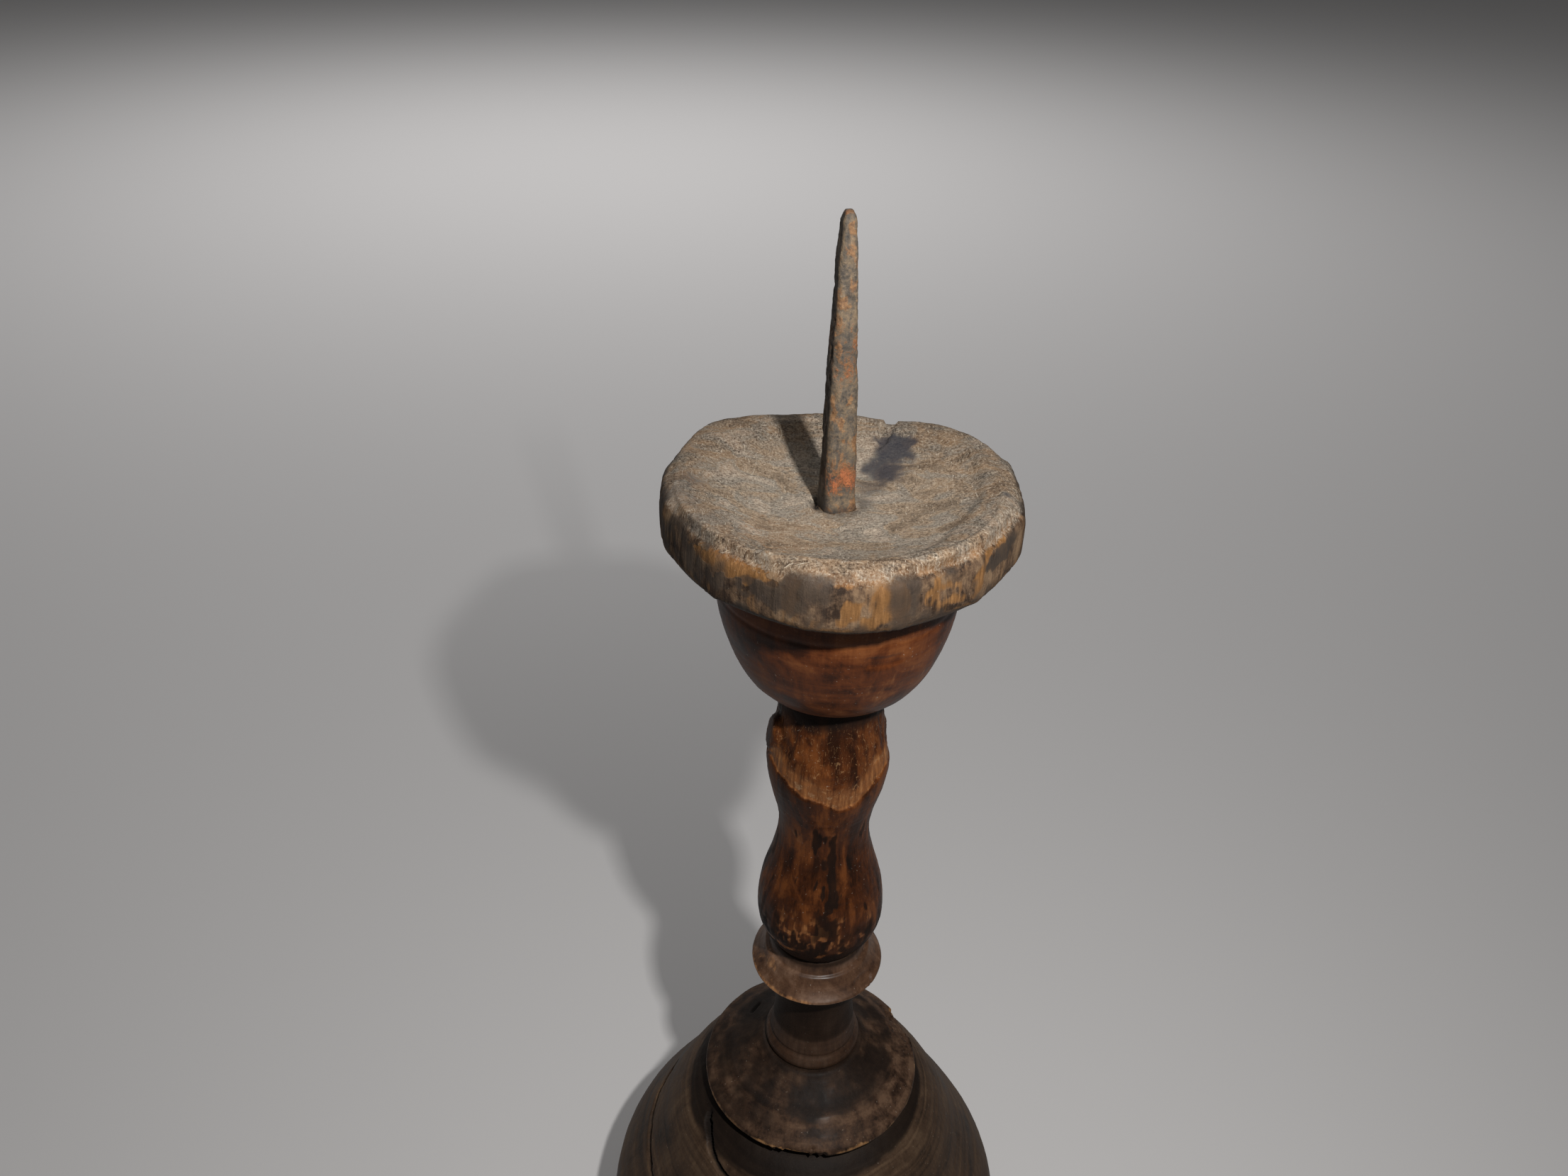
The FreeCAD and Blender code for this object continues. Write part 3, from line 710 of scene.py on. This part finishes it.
def make_dome(material):
    """Flared base with ring shakes, turning lines and a worn foot bead."""
    skin = Skin("base_dome", 360, 0.5, fine=lambda r, z: (r > 19) & (z > 1), extra=(
        (41.0, 2.6, 0.4), (54.2, 2.4, 0.4), (34.0, 1.2, 0.5)))
    skin.carve(0.22 * skin.fuzz(16, 22, 1))
    skin.carve(0.045 * skin.rings(1.6, 2) + 0.02 * skin.rings(0.5, 3))
    skin.carve(0.05 * skin.fuzz(0.9, 7, 4))
    skin.crack(0.95, 2.2, 5, (157, 44.6), (160, 44), (168, 41), (175, 40.3), (187, 40.2),
               (199, 39.3), (206, 38.4))
    skin.crack(0.95, 2.4, 6, (204, 57.6), (208, 56.5), (214, 55.6), (221, 54.1), (227, 53.3),
               (236, 52.8))
    skin.crack(0.3, 0.8, 7, (-80, 36.2), (-70, 34.6), (-58, 33.8), (-44, 33.9))
    skin.crack(0.4, 1.1, 8, (20, 47.5), (34, 46.2), (52, 46.0), (66, 46.8))
    skin.crack(0.35, 0.9, 9, (84, 33), (100, 31.8), (122, 31.6))
    chips = smooth(0.4, 0.75, skin.fuzz(8, 3, 10)) * (1 - smooth(10, 13, skin.z)) * smooth(2, 5, skin.z)
    skin.carve(-0.5 * chips)
    skin.paint("bare", 0.5 * chips)
    edge = smooth(0.1, 0.5, skin.fuzz(6, 3, 11)) * skin.band(20, 5) * smooth(0, 0.5, skin.nr)
    skin.paint("pale", 0.35 * edge)
    skin.paint("grime_and_shade", skin.band(13, 1.2) * smooth(30, 33, skin.r) * 0.8)
    # Painted shadow of the drum on the dome's top: a dark band under the drum's rim, widest on the left,
    # partly dirt in the recess.
    shadow_reach = 21.6 + 1.6 * skin.towards(-150, 110, 20) + 0.6 * skin.fuzz(6, 6, 12)
    crown = smooth(DOME_TOP - 12, DOME_TOP - 8, skin.z)
    skin.paint("grime_and_shade", 0.95 * smooth(shadow_reach + 0.8, shadow_reach - 0.8, skin.r) * crown)
    add_piece("base_dome_wood", skin, material)


def make_drum(material):
    """Low drum with a fat worn rim, a shallow cove and a chipped foot."""
    skin = Skin("base_drum", 320, 0.3, fine=lambda r, z: r > 8.5)
    skin.carve(0.2 * skin.fuzz(9, 9, 21))
    skin.carve(0.03 * skin.rings(1.2, 22) + 0.03 * skin.fuzz(0.8, 4, 23))
    ragged = skin.spot(-97, DOME_TOP + 2.0, 5.5, 1.3, 24, 0.6)
    skin.carve(-0.6 * ragged)
    skin.paint("bare", 0.8 * skin.spot(-104, DOME_TOP + 2.2, 3.6, 0.8, 25, 0.5))
    worn = skin.spot(24, DOME_TOP + 3.4, 4.2, 2.2, 26, 0.6)
    skin.carve(-0.7 * worn)
    skin.paint("pale", 0.3 * worn)
    top = smooth(0.25, 0.6, skin.nz)
    groove = hill(skin.r, 13.4, 0.35) * top
    arc = skin.towards(145, 8, 3)
    skin.carve(-0.6 * groove * arc)
    skin.paint("crack", groove * arc)
    middle = smooth(17.0, 14.8, skin.r + 0.9 * skin.fuzz(3, 3, 29))
    skin.paint("grime_and_shade", (0.62 + 0.5 * skin.fuzz(3.2, 3.2, 30)) * top * middle)
    # Painted shade: the top darker on the left, away from the light.
    left = skin.towards(-165, 75, 35)
    skin.paint("grime_and_shade", (0.55 + 0.4 * skin.fuzz(2.6, 2.6, 38)) * top * left)
    # Painted shade on every face that looks down, under the rim.
    skin.paint("grime_and_shade", 0.95 * smooth(0.1, -0.4, skin.nz))
    rim = skin.band(DOME_TOP + 2.2, 0.9) * smooth(18.6, 19.6, skin.r)
    skin.paint("bare", 0.85 * rim * (0.6 + 0.9 * skin.fuzz(3, 3, 28)))
    add_piece("base_drum_wood", skin, material)


# ---------------------------------------------------------------- stem


def make_knop(material):
    """Knop with a polished collar over a spool darkened with painted shade."""
    skin = Skin("stem_knop", 220, 0.26, fine=lambda r, z: r > 6)
    skin.carve(0.1 * skin.fuzz(6, 6, 31) + 0.03 * skin.rings(0.6, 32) + 0.02 * skin.fuzz(0.7, 5, 33))
    skin.carve(-0.35 * skin.spot(-40, KNOP_TOP - 5.5, 2.2, 1.1, 34, 0.4))
    skin.carve(-0.3 * skin.spot(80, KNOP_TOP - 6, 2.6, 1.3, 35, 0.4))
    skin.carve(-0.22 * skin.band(DRUM_TOP + 3.0, 0.3) * smooth(6, 7, skin.r))
    crest = KNOP_TOP - 6.4
    collar = skin.band(crest, 0.55) * smooth(10.4, 11.2, skin.r)
    skin.paint("bare", 0.85 * collar * skin.towards(-140, 75, 20) * (0.8 + 0.5 * skin.fuzz(2, 2, 36)))
    skin.paint("bare", 0.6 * collar * skin.towards(50, 40, 10))
    shoulder = smooth(crest, crest + 1, skin.z) * smooth(KNOP_TOP - 2, KNOP_TOP - 3, skin.z)
    rubbed = skin.towards(-150, 35, 10) * smooth(0.0, 0.4, skin.fuzz(2, 2, 37))
    skin.paint("bare", 0.45 * shoulder * rubbed)
    # Painted shade under the collar and down the spool, and at the top where the stem's foot meets the
    # knop.
    shade_under_collar = smooth(crest - 0.3, crest - 1.2, skin.z) * smooth(DRUM_TOP + 3.0, DRUM_TOP + 9.0, skin.z)
    skin.paint("grime_and_shade", 1.1 * shade_under_collar)
    skin.paint("grime_and_shade", 0.55 * smooth(crest - 1, crest - 3, skin.z))
    skin.paint("grime_and_shade", 0.75 * smooth(KNOP_TOP - 2.2, KNOP_TOP - 0.6, skin.z))
    add_piece("stem_knop_wood", skin, material)


# (degrees, height in mm) along the scalloped edge below the broken bead
SCALLOP = (
    (-180, 137.0), (-160, 138.5), (-140, 137.0), (-116, 135.0), (-95, 134.5), (-81, 132.5),
    (-61, 133.6), (-46, 136.2), (-20, 138.0), (20, 137.0), (60, 135.0), (100, 136.0),
    (140, 138.5), (180, 137.0),
)


def make_stem(material):
    """Baluster stem; the bead at its neck is broken away to bare wood above a scalloped edge."""
    skin = Skin("baluster_stem", 220, 0.27, solid=True, fine=lambda r, z: z > KNOP_TOP, soften=0.2)
    seen = smooth(KNOP_TOP, KNOP_TOP + 1, skin.z) * smooth(BELL_FOOT + 0.2, BELL_FOOT - 1, skin.z)
    skin.carve(0.12 * skin.fuzz(5, 7, 41) * seen + 0.05 * skin.staves(0.9, 42) * seen)
    skin.carve(0.03 * skin.rings(0.5, 43) * seen)
    scallop = np.interp(skin.theta, *zip(*SCALLOP)) + 0.35 * skin.fuzz(1.4, 1.4, 44)
    lost = smooth(-0.15, 0.3, skin.z - scallop) * smooth(150.4, 147.0, skin.z)
    depth = 0.3 + 0.28 * skin.fuzz(3.2, 4.5, 45) + 0.1 * skin.staves(0.7, 46)
    depth = depth + 0.08 * skin.fuzz(0.8, 0.8, 48)
    lump = skin.spot(-167, 142.5, 2.6, 3.4, 47, 0.2)
    skin.carve(-depth * lost * (1 - lump) + 0.5 * lump)
    fresh = skin.band(scallop + 1.6, 2.4)
    skin.paint("bare", lost * (1 - 0.85 * lump) * (0.1 + 0.85 * fresh + 0.3 * skin.fuzz(1.6, 1.8, 49)))
    skin.paint("top", lost)
    skin.paint("pale", 0.4 * lost * smooth(0.0, 0.5, skin.fuzz(1.2, 1.2, 53)) * (0.2 + fresh))
    # Painted shade at the neck under the bell's foot.
    skin.paint("grime_and_shade", 0.8 * smooth(144.5, 149.5, skin.z))
    streaks = smooth(0.0, 0.5, skin.staves(1.3, 50)) * smooth(0.0, 0.3, skin.fuzz(3, 3, 51) + 0.15)
    swell = skin.band(105.5, 6.0) + 0.8 * skin.band(123.5, 3.6)
    skin.paint("bare", 0.56 * np.clip(swell, 0, 1) * streaks)
    char = smooth(0.1, 0.4, skin.fuzz(1.5, 7.0, 52)) * smooth(100, 104, skin.z) * smooth(131, 126, skin.z)
    skin.paint("grime_and_shade", (0.62 + 0.3 * skin.towards(-84, 60, 12)) * char)
    swelling = smooth(103, 106, skin.z) * smooth(127, 123, skin.z)
    blots = smooth(-0.1, 0.35, skin.fuzz(1.8, 4.0, 55)) * skin.towards(-86, 20, 8)
    skin.paint("grime_and_shade", 0.72 * blots * swelling)
    flecks = smooth(0.1, 0.5, skin.fuzz(1.6, 1.0, 54)) * skin.band(101.6, 1.1)
    skin.paint("bare", 0.95 * flecks)
    gold = smooth(0.05, 0.4, skin.fuzz(0.9, 1.8, 56)) * skin.band(106.5, 4.0)
    skin.paint("bare", 0.9 * gold * skin.towards(-84, 80, 30))
    foot = smooth(110.5, 103.0, skin.z) * (0.72 + 0.75 * skin.fuzz(1.8, 2.6, 57)) * (1 - 0.7 * gold)
    skin.paint("grime_and_shade", foot * (1 - 0.8 * flecks))
    skin.paint("grime_and_shade", 0.9 * smooth(103.5, 101.0, skin.z) * (1 - 0.7 * flecks))
    add_piece("baluster_stem_wood", skin, material, cuts=("pricket_spike", "tenon_wedge"))


def make_bell(material):
    """Smooth red-brown bell cup."""
    skin = Skin("bell_cup", 280, 0.3, solid=True, fine=lambda r, z: r > 8.6)
    skin.carve(0.12 * skin.fuzz(9, 9, 61) + 0.03 * skin.rings(0.9, 62) + 0.015 * skin.fuzz(0.8, 3, 63))
    skin.carve(-0.1 * skin.band(PAN_FOOT - 6.5, 0.35))
    skin.carve(-0.25 * skin.spot(-70, BELL_FOOT + 15, 3, 1.2, 64, 0.4))
    # Painted shade at the top under the pan and at the foot, which faces down.
    skin.paint("grime_and_shade", 0.8 * smooth(PAN_FOOT - 2.2, PAN_FOOT - 0.4, skin.z))
    skin.paint("grime_and_shade", 0.75 * smooth(BELL_FOOT + 1.6, BELL_FOOT + 0.5, skin.z))
    skin.paint("pale", 0.28 * skin.spot(-75, PAN_FOOT - 4, 16, 2.6, 65, 0.5))
    skin.paint("bare", 0.35 * skin.spot(-55, BELL_FOOT + 8, 9, 4.5, 66, 0.6))
    add_piece("bell_cup_wood", skin, material, cuts=("pricket_spike",))


# ---------------------------------------------------------------- pan


def pan_reach(theta):
    """Radius of the CAD pan's side at each angle."""
    height = (PAN_LOW.z + PAN_HIGH.z) / 2
    found = []
    for degrees in theta:
        a = math.radians(degrees)
        out = Vector((math.cos(a), math.sin(a), 0))
        hit = TREES["drip_pan"].ray_cast(out * 0.06 + Vector((0, 0, height)), -out)[0]
        found.append(math.hypot(hit.x, hit.y) * MM)
    return np.array(found)


# (degrees, radius in mm) of the edge inside which the dish lies; it is tighter at the right front
DISH_EDGE = (
    (-180, 22.4), (-120, 22.4), (-60, 19.5), (-31, 17.5), (-14, 18.4), (9, 19.9), (30, 21.9),
    (60, 22.4), (110, 22.4), (180, 22.4),
)
# Knife cuts round the pan's side: (degrees, bite in mm, more bite towards the rim in mm)
FACETS = (
    (-150, 0.55, 0.5), (-118, 0.5, 0.3), (-88, 0.35, 0.1), (-58, 0.6, 0.6), (-30, 0.5, 0.4),
    (5, 0.4, 0.2), (38, 0.5, 0.3), (74, 0.6, 0.2), (112, 0.5, 0.3), (152, 0.45, 0.2),
)
# The dark stain beside the spike: (x, y, size in mm, strength)
STAIN_BLOTS = ((8.0, 15.0, 3.7, 1.0), (6.6, 10.4, 3.8, 0.78), (4.2, 6.0, 2.6, 0.5))


def make_pan(material):
    """Knife-trimmed pan of weathered end grain with a hollowed dish and a stain."""
    skin = Skin("drip_pan", 400, 0.34, azimuth=136.0, solid=True, round_out=0.95, fine=lambda r, z: (
        (z > PAN_TOP - 5) | (r > 17)))
    reach = pan_reach(skin.theta[:, 0])[:, None]
    full = skin.r.max()
    inner = 21.5
    skin.r = skin.r + (reach - full) * np.clip((skin.r - inner) / (full - 1.6 - inner), 0, 1)
    top = smooth(0.2, 0.7, skin.nz) * smooth(PAN_TOP - 4.5, PAN_TOP - 3.6, skin.z)
    side = smooth(0.35, 0.8, skin.nr) * smooth(17, 20, skin.r)
    a = np.radians(skin.theta)
    x, y = skin.r * np.cos(a), skin.r * np.sin(a)

    # A soft step runs inside the rim where the dish is tighter
    lip = np.interp(skin.theta, *zip(*DISH_EDGE))
    ledge = smooth(lip - 1.2, lip + 0.8, skin.r) * smooth(23.5, 21.5, skin.r) * (lip < 22.3)
    skin.carve(0.5 * top * ledge)
    # Wavy rim and whittled facets
    skin.carve(0.28 * skin.fuzz(11, 40, 71) * top * smooth(10, 18, skin.r))
    facets = 0.0
    lean = np.clip((skin.z - PAN_FOOT - 3) / 5.5, 0, 1.2)
    for degrees, bite, tilt in FACETS:
        across = skin.from_angle(degrees) / 17.0
        facets = np.maximum(facets, np.clip(1 - across**2, 0, 1) * (bite + tilt * lean))
    skin.carve((-facets + 0.2) * side)
    skin.carve((0.12 * skin.staves(0.8, 73) + 0.06 * skin.staves(0.35, 74)) * side)
    chamfer = skin.band(PAN_TOP - 0.8, 0.9) * smooth(20.5, 22.5, skin.r)
    wear = skin.towards(-49, 50, 15) + skin.towards(-130, 24, 8)
    skin.carve(-0.5 * chamfer * np.clip(wear, 0, 1))
    skin.carve(-0.6 * skin.spot(70, PAN_TOP - 0.3, 1.2, 1.8, 75, 0.4))
    skin.carve((0.07 * skin.fuzz(1.3, 2.4, 77) + 0.05 * skin.fuzz(0.5, 0.5, 78)) * top)
    # Broken fibres beside the spike, deepest at its left and back; the pit is painted crack-dark and a ring
    # round the spike darker, partly real and partly painted shadow of the spike.
    hollow = np.exp(-((np.hypot(x + 1.6, y - 0.6) / 2.5) ** 4)) * top
    skin.carve(-1.8 * hollow * smooth(-0.4, 0.4, -x - 0.2 + 0.3 * y))
    root = np.hypot(x + 0.8, y)
    skin.paint("crack", 0.9 * hollow * smooth(0.0, 0.8, -x - 0.6 + 0.4 * y))
    skin.paint("grime_and_shade", 0.5 * np.exp(-((root / 3.4) ** 4)) * top)

    stain = 0.0
    for cx, cy, size, strength in STAIN_BLOTS:
        d = np.hypot(x - cx, (y - cy) * 0.8) / size + 0.45 * skin.fuzz(1.8, 9, 79)
        stain = np.maximum(stain, strength * (1 - smooth(0.35, 1.3, d)))
    skin.paint("stain", 0.95 * stain * top)
    skin.paint("stain", 0.6 * hill(np.hypot(x - 22.3, y + 2.6), 0, 0.9))
    skin.paint("stain", 0.42 * top * hill(np.hypot(x - 3.2, y - 1.0), 0, 2.4))
    left = skin.towards(-168, 70, 20) * smooth(15, 23, skin.r) * top
    skin.paint("stain", 0.5 * left * (0.7 + 0.6 * skin.fuzz(4, 30, 84)))
    skin.paint("top", top)
    skin.paint("pale", 0.5 * top + 0.12 * top * smooth(22, 12, skin.r))
    # Painted highlight on the worn chamfer at the front right, towards the light.
    skin.paint("pale", 0.5 * chamfer * skin.towards(-49, 60, 25))
    skin.paint("bare", 0.66 * chamfer * skin.towards(-60, 70, 30))
    skin.paint("bare", 0.85 * skin.spot(-128, PAN_TOP - 2.6, 7.5, 1.7, 81, 0.7))
    front = skin.towards(-62, 75, 30)
    skin.paint("bare", 0.74 * side * smooth(-0.1, 0.45, skin.fuzz(2.4, 4, 82)) * front)
    foot = smooth(PAN_FOOT + 2.0, PAN_FOOT + 1.0, skin.z) * smooth(22, 23.5, skin.r)
    skin.paint("bare", 0.6 * foot * front)
    skin.paint("bare", 0.45 * side * smooth(0.1, 0.5, skin.fuzz(3.0, 7, 85)))
    skin.paint("grime_and_shade", 0.7 * side * smooth(-0.25, 0.4, skin.fuzz(3.4, 4.5, 83)))
    skin.paint("grime_and_shade", 0.85 * side * skin.spot(-30, PAN_TOP - 3.4, 5.0, 1.8, 86, 0.5))
    skin.paint("grime_and_shade", 0.7 * side * skin.spot(-112, PAN_TOP - 4.6, 6.0, 2.2, 87, 0.5))
    # Painted shade on the pan's underside, which faces down.
    shaded_underside = smooth(0.3, -0.3, skin.nz + 0.3) * smooth(PAN_FOOT + 1.6, PAN_FOOT + 0.4, skin.z)
    skin.paint("grime_and_shade", 0.9 * shaded_underside)
    add_piece("drip_pan_wood", skin, material, cuts=("pricket_spike",))


# ---------------------------------------------------------------- spike


def make_spike(material):
    """Forged pricket, its faces hammered and rusted above the dish."""
    points = vertices_of("pricket_spike")
    low, high = points[:, 2].min(), points[:, 2].max()
    floor = PAN_TOP - DISH_DEPTH
    foot = points[points[:, 2] < low + 0.05].mean(0)
    end = points[points[:, 2] > high - 0.05].mean(0)
    columns = 64
    heights = np.concatenate([np.linspace(low, floor, 40)[:-1], np.linspace(floor, high, 170)])
    heights[0] += 0.002
    heights[-1] -= 0.002
    angles = np.linspace(-180, 180, columns, endpoint=False)
    places = np.zeros((columns, len(heights), 3))
    for j, z in enumerate(heights):
        rise = max(0.0, (z - floor) / (high - floor))
        x, y = foot[:2] + (end[:2] - foot[:2]) * rise
        centre = Vector((x, y, z)) / MM
        for i, degrees in enumerate(angles):
            a = math.radians(degrees)
            out = Vector((math.cos(a), math.sin(a), 0))
            hit = TREES["pricket_spike"].ray_cast(centre + out * 0.02, -out)[0]
            places[i, j] = (hit if hit is not None else centre) * MM
    centres = places.mean(0, keepdims=True)
    out = places - centres
    out[..., 2] = 0
    out /= np.maximum(np.linalg.norm(out, axis=-1, keepdims=True), 1e-6)
    above = smooth(floor + 0.1, floor + 1.5, places[..., 2])
    hammer = 0.16 * fbm(places / np.array([2.4, 2.4, 4.5]), 91, 2)
    scale = 0.1 * fbm(places / 0.8, 92, 3) + 0.04 * fbm(places / 0.3, 93, 2)
    pits = -0.14 * smooth(0.25, 0.55, fbm(places / np.array([1.0, 1.0, 1.6]), 94, 2))
    places = places + out * ((hammer + scale + pits - 0.05) * above)[..., None]
    z = places[..., 2]
    share = (z - floor) / (high - floor)
    front = smooth(100, 30, abs((angles[:, None] + 75 + 180) % 360 - 180))
    left = smooth(50, 20, abs((angles[:, None] - 198 + 180) % 360 - 180))
    rusty = 0.42 * hill(z, floor + 5, 3.5) + 0.32 * hill(share, 0.55, 0.16) + 0.12
    masks = {
        "bare": rusty * (0.7 + 0.3 * front) + 0.35 * smooth(0.96, 1.0, share),
        "pale": 0.26 * hill(share, 0.8, 0.2),
        # painted shade on the left face, turned from the light, and painted shade with dirt where the spike
        # enters the dish
        "grime_and_shade": 0.62 * hill(z, floor, 1.4) + 0.62 * left,
    }
    low_pole, high_pole = (
        np.broadcast_to(places[:, [row]].mean(0, keepdims=True), (columns, 1, 3)) for row in (0, -1))
    places = np.concatenate([low_pole, places, high_pole], axis=1)
    masks = {
        key: np.concatenate([value[:, :1], value, value[:, -1:]], axis=1).clip(0, 1)
        for key, value in masks.items()
    }
    piece = grid_object("pricket_spike_iron", places / MM, False, masks)
    tie(piece, "pricket_spike", material)


# ---------------------------------------------------------------- the object

make_dome(wood("base_wood_old", BASE_LOOKS))
make_drum(wood("drum_wood_old", DRUM_LOOKS))
make_knop(wood("knop_wood_old", KNOP_LOOKS))
make_stem(wood("stem_wood_old", STEM_LOOKS))
make_bell(wood("bell_wood_old", BELL_LOOKS))
make_pan(wood("pan_wood_old", PAN_LOOKS))
make_spike(rust("iron_rusted"))

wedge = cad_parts["tenon_wedge"]
wedge.data.materials.clear()
wedge.data.materials.append(wood("wedge_wood_raw", WEDGE_LOOKS))

# ---------------------------------------------------------------- floor, light, camera

CAMERA_PLACE = Vector((-0.00778, -0.15149, RIM + 0.07649))
CAMERA_PITCH, CAMERA_ROLL = 31.81, 1.716  # degrees
CAMERA_LENS, SENSOR_WIDTH = 28.01, 36.0  # mm
FLOOR_REACH = 3.0  # m to each side of the candlestick
FLOOR_COLOUR = (0.61, 0.6, 0.6)

# A small key light beside the camera gives the crisp shadow of the spike
KEY_PLACE, KEY_TARGET = CAMERA_PLACE + Vector((0.049, 0.019, 0.031)), Vector((0, 0, 0.12))
KEY_SIZE, KEY_POWER = 0.008, 0.54
# A wide light lifts the floor behind the candlestick
BACK_PLACE, BACK_TARGET = Vector((-0.2, 1.0, 0.85)), Vector((0, 1.1, 0))
BACK_SIZE, BACK_POWER = 0.8, 7.5
WARM_WHITE, SOFT_WHITE = (1.0, 0.985, 0.96), (1.0, 0.99, 0.98)
WORLD_STRENGTH = 0.09


def make_floor():
    """A plain pale floor."""
    mesh = bpy.data.meshes.new("floor")
    far = FLOOR_REACH
    corners = [(-far, -far, 0), (far, -far, 0), (far, far, 0), (-far, far, 0)]
    mesh.from_pydata(corners, [], [(0, 1, 2, 3)])
    floor = bpy.data.objects.new("floor", mesh)
    bpy.context.scene.collection.objects.link(floor)
    p = Paint("floor_pale")
    p.feed(p.shader.inputs["Base Color"], FLOOR_COLOUR)
    p.feed(p.shader.inputs["Roughness"], 0.9)
    mesh.materials.append(p.material)


def add_light(name, place, target, size, power, colour):
    """A square area light that points at the target."""
    data = bpy.data.lights.new(name, "AREA")
    data.shape = "SQUARE"
    data.size = size
    data.energy = power
    data.color = colour
    light = bpy.data.objects.new(name, data)
    light.location = place
    light.rotation_euler = (target - place).to_track_quat("-Z", "Y").to_euler()
    bpy.context.scene.collection.objects.link(light)


def add_camera():
    """A camera in front, above the pan, tilted down and rolled a little."""
    pitch, roll = math.radians(CAMERA_PITCH), math.radians(CAMERA_ROLL)
    ahead = Vector((0, math.cos(pitch), -math.sin(pitch)))
    right = ahead.cross(Vector((0, 0, 1))).normalized()
    up = right.cross(ahead)
    level_right = math.cos(roll) * right + math.sin(roll) * up
    level_up = -math.sin(roll) * right + math.cos(roll) * up
    data = bpy.data.cameras.new("camera")
    data.sensor_width = SENSOR_WIDTH
    data.lens = CAMERA_LENS
    data.clip_start = 0.005
    camera = bpy.data.objects.new("camera", data)
    turn = Matrix((level_right, level_up, -ahead)).transposed().to_4x4()
    camera.matrix_world = Matrix.Translation(CAMERA_PLACE) @ turn
    bpy.context.scene.collection.objects.link(camera)
    bpy.context.scene.camera = camera


make_floor()
add_light("key", KEY_PLACE, KEY_TARGET, KEY_SIZE, KEY_POWER, WARM_WHITE)
add_light("back", BACK_PLACE, BACK_TARGET, BACK_SIZE, BACK_POWER, SOFT_WHITE)
world = bpy.data.worlds.new("studio")
bpy.context.scene.world = world
world.use_nodes = True
sky = world.node_tree.nodes["Background"].inputs
sky["Color"].default_value = (*SOFT_WHITE, 1)
sky["Strength"].default_value = WORLD_STRENGTH
bpy.context.scene.view_settings.view_transform = "Standard"
add_camera()
